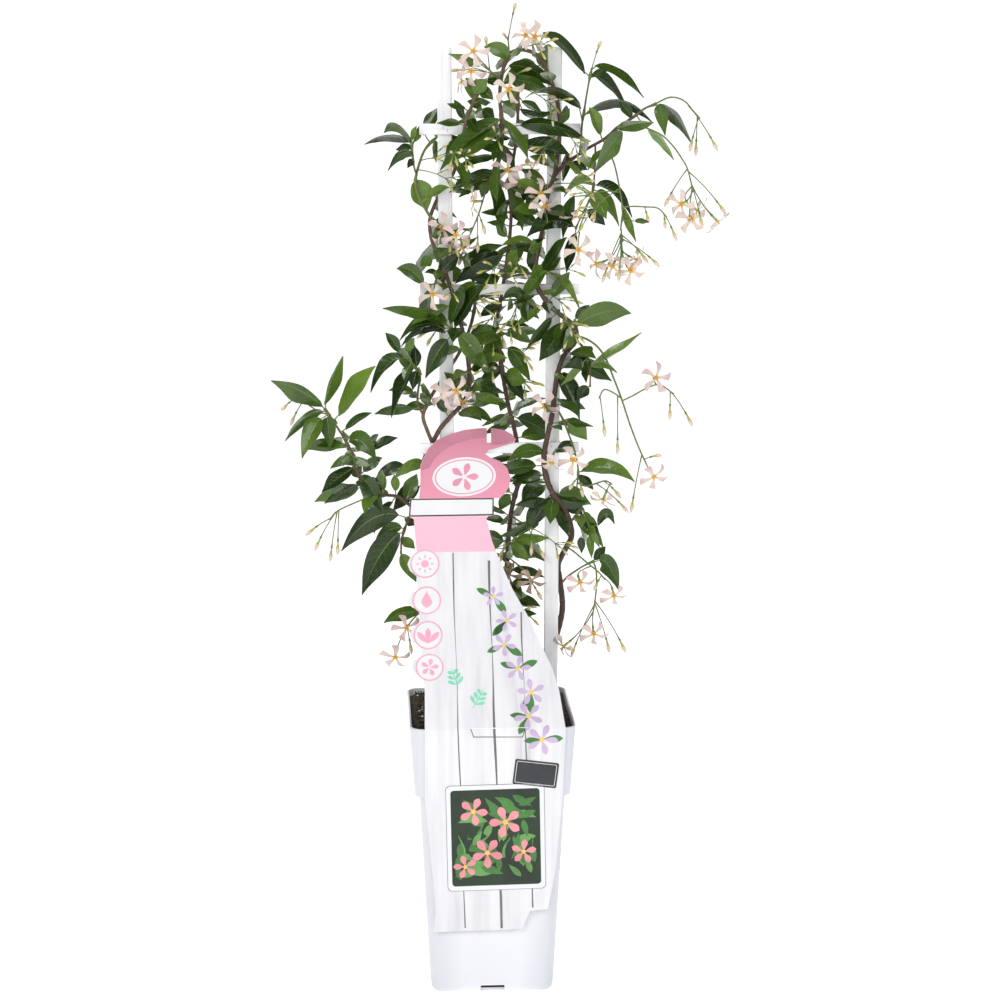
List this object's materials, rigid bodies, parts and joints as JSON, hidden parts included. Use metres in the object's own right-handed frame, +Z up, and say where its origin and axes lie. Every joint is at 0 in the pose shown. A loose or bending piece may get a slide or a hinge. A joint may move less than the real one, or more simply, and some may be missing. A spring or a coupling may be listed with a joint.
{
  "type": "potted asiatic jasmine",
  "caption": "Climbing jasmine in flower, trained on a white ladder trellis that stands in a tall square white nursery pot, with a long card label hooked over the rim.",
  "frame": {"origin": "middle of the pot's flat base, on the surface it stands on", "axes": "+Z up along the trellis posts, -Y towards the side with the label, +X to the right seen from that side"},
  "size_m": [0.3548, 0.1312, 0.778],
  "materials": {
    "pot": "satin",
    "trellis": "matte",
    "label": "satin",
    "soil": "matte",
    "bark": "matte",
    "leaf": "satin",
    "petal": "matte"
  },
  "bodies": {
    "root": {"pot": "pot", "potting_soil": "soil", "trellis_post_left": "trellis", "trellis_post_right": "trellis", "trellis_rung_top": "trellis", "trellis_rung_middle": "trellis", "trellis_rung_bottom": "trellis", "plant_label": "label", "left_stem": "bark", "left_twining_stem": "bark", "right_stem": "bark", "centre_stem": "bark", "centre_right_twig": "leaf", "middle_cross_shoot": "leaf", "upper_left_shoot": "leaf", "left_flower_twig": "leaf", "left_whorl_shoot": "leaf", "middle_left_twig": "leaf", "left_bough": "leaf", "lower_left_shoot": "leaf", "upper_right_branch": "leaf", "top_right_shoot": "leaf", "green_drop_stem": "leaf", "right_whorl_shoot": "leaf", "right_side_shoot": "leaf", "lower_right_side_shoot": "leaf", "low_right_shoot": "leaf", "low_right_twig": "leaf", "lower_middle_shoot": "leaf", "spray_top_left": "petal", "spray_top": "petal", "spray_top_centre": "petal", "spray_far_right": "petal", "spray_right_umbel": "petal", "spray_right_drop": "petal", "spray_right_cluster": "petal", "spray_right_middle": "petal", "spray_centre_left": "petal", "spray_centre_top": "petal", "spray_centre_right": "petal", "spray_centre": "petal", "spray_low_left": "petal", "spray_right_long": "petal", "spray_right_side": "petal", "spray_right_inner": "petal", "spray_lower_right": "petal", "spray_low_middle": "petal", "spray_low_right": "petal", "spray_faded": "petal", "spray_bottom_left": "petal", "spray_bough_end": "petal", "spray_bough_top": "petal"}
  },
  "joints": []
}
